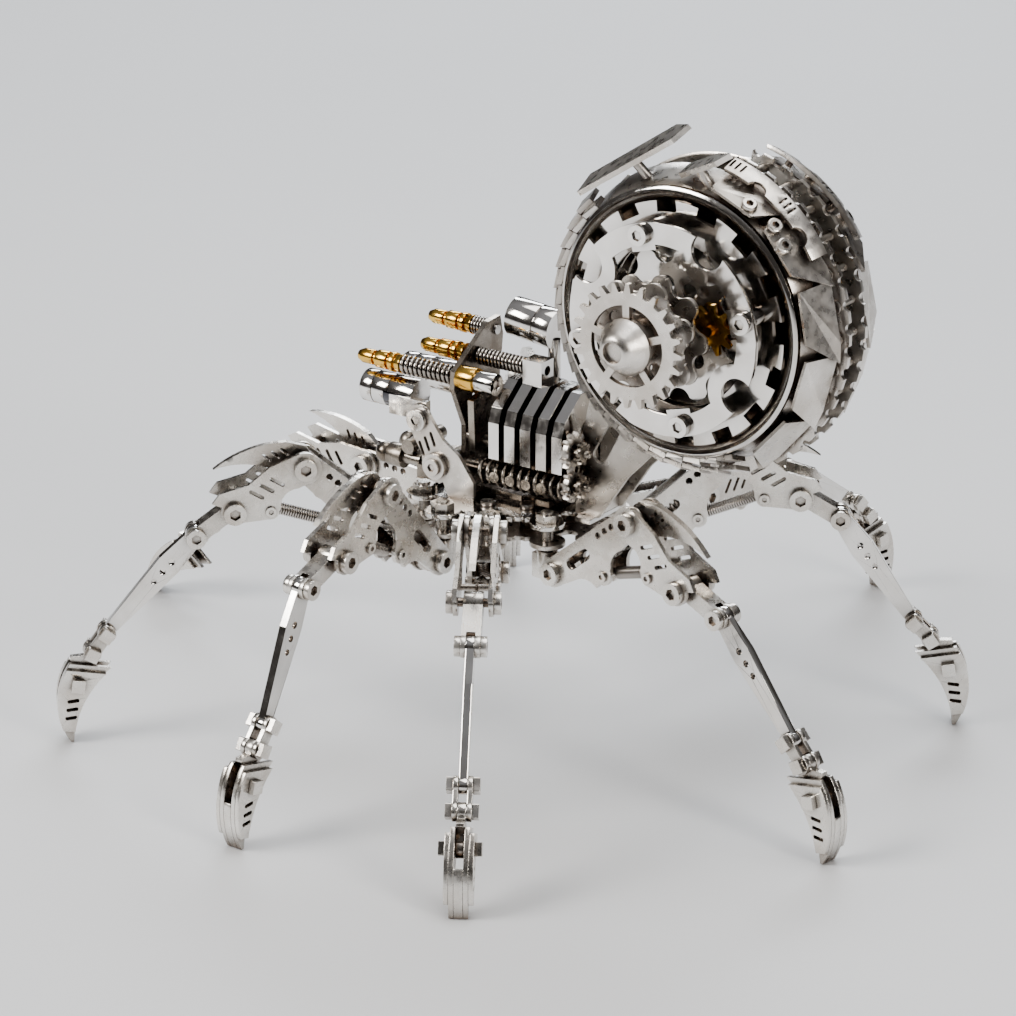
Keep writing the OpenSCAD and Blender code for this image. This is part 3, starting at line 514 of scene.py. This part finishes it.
def collar_screws():
    """Three cap screws on the uppermost kite scale of each side, under the collar's bites."""
    for side, word in ((-1, "left"), (1, "right")):
        for n, (azimuth, t, h) in enumerate(((60, 1.4, 1.6), (48, 2.4, 1.6), (40, 1.2, 1.8))):
            mesh = screw_mesh(CAP_SCREW_RADIUS, 1.5 * MM, 0.85 * MM)
            mesh.transform(on_flank(side, azimuth, t, h))
            flat(piece(f"collar_screw_{word}_{n}", mesh, "legs", "body"))


collar_screws()


LAMP_Z = 83.5 * MM
LAMP_WINDOW_RADIUS = 4.24 * MM


def lamp_patch(side, y):
    """A dark window let into the side of an eye lamp, a hair above the tube."""
    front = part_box(f"eye_lamp_{side}")[0].x
    window_x = (front + 7.4 * MM, front + 14.6 * MM)
    bm = bmesh.new()
    sign = -1 if y < 0 else 1
    rows = []
    for k in range(9):
        t = math.radians(-52 + 8 * k)
        place_y = HUB.y + y * MM + sign * LAMP_WINDOW_RADIUS * math.cos(t)
        place_z = LAMP_Z + LAMP_WINDOW_RADIUS * math.sin(t)
        rows.append([bm.verts.new((x, place_y, place_z)) for x in window_x])
    for a, b in zip(rows, rows[1:]):
        bm.faces.new((a[0], a[1], b[1], b[0]))
    bmesh.ops.recalc_face_normals(bm, faces=bm.faces)
    mesh = finished("lamp_window", bm)
    window = piece(f"lamp_window_{side}", mesh, "glass", f"eye_{side}")
    thick = window.modifiers.new("thick", "SOLIDIFY")
    thick.thickness = 0.12 * MM
    thick.offset = 0


lamp_patch("left", -8.3)
lamp_patch("right", 8.3)


# ---- Stage ----------------------------------------------------------------


def make_stage():
    bpy.ops.mesh.primitive_plane_add(size=12, location=(0, 0, -0.0002))
    floor = bpy.context.object
    floor.name = "floor"
    material, nodes, links, shader = new_material("pale_floor")
    shader.inputs["Roughness"].default_value = 0.55
    tone = noise(nodes, links, 3)
    links.new(ramp(nodes, links, tone, [(0.3, (0.70, 0.71, 0.73)), (0.7, (0.74, 0.75, 0.77))]),
              shader.inputs["Base Color"])
    floor.data.materials.append(material)


def area_light(name, place, aim, size, power, colour):
    data = bpy.data.lights.new(name, "AREA")
    data.shape = "RECTANGLE"
    data.size, data.size_y = size
    data.energy = power
    data.color = colour
    light = bpy.data.objects.new(name, data)
    light.location = place
    light.rotation_euler = (Vector(aim) - Vector(place)).to_track_quat("-Z", "Y").to_euler()
    bpy.context.scene.collection.objects.link(light)


def make_lights():
    middle = (0, 0, 0.08)
    area_light("overhead", (0.1, 0.25, 1.9), middle, (1.6, 1.2), 26, (1, 0.99, 0.97))
    area_light("key", (-0.55, -0.8, 0.75), middle, (0.5, 0.45), 13, (1, 0.97, 0.93))
    area_light("side", (1.05, -0.25, 0.5), middle, (0.22, 0.6), 6, (1, 0.95, 0.88))
    area_light("rim", (-0.5, 0.95, 0.7), middle, (0.7, 0.3), 9, (0.9, 0.95, 1))
    world = bpy.data.worlds.new("studio")
    world.use_nodes = True
    nodes, links = world.node_tree.nodes, world.node_tree.links
    background = nodes["Background"]
    place = nodes.new("ShaderNodeTexCoord")
    split = nodes.new("ShaderNodeSeparateXYZ")
    links.new(place.outputs["Generated"], split.inputs["Vector"])
    sky = ramp(nodes, links, split.outputs["Z"], [(0.0, (0.035, 0.03, 0.028)), (0.45, (0.06, 0.055, 0.052)),
                                                  (0.85, (0.3, 0.3, 0.31))])
    links.new(sky, background.inputs["Color"])
    background.inputs["Strength"].default_value = 0.8
    bpy.context.scene.world = world


make_stage()
make_lights()
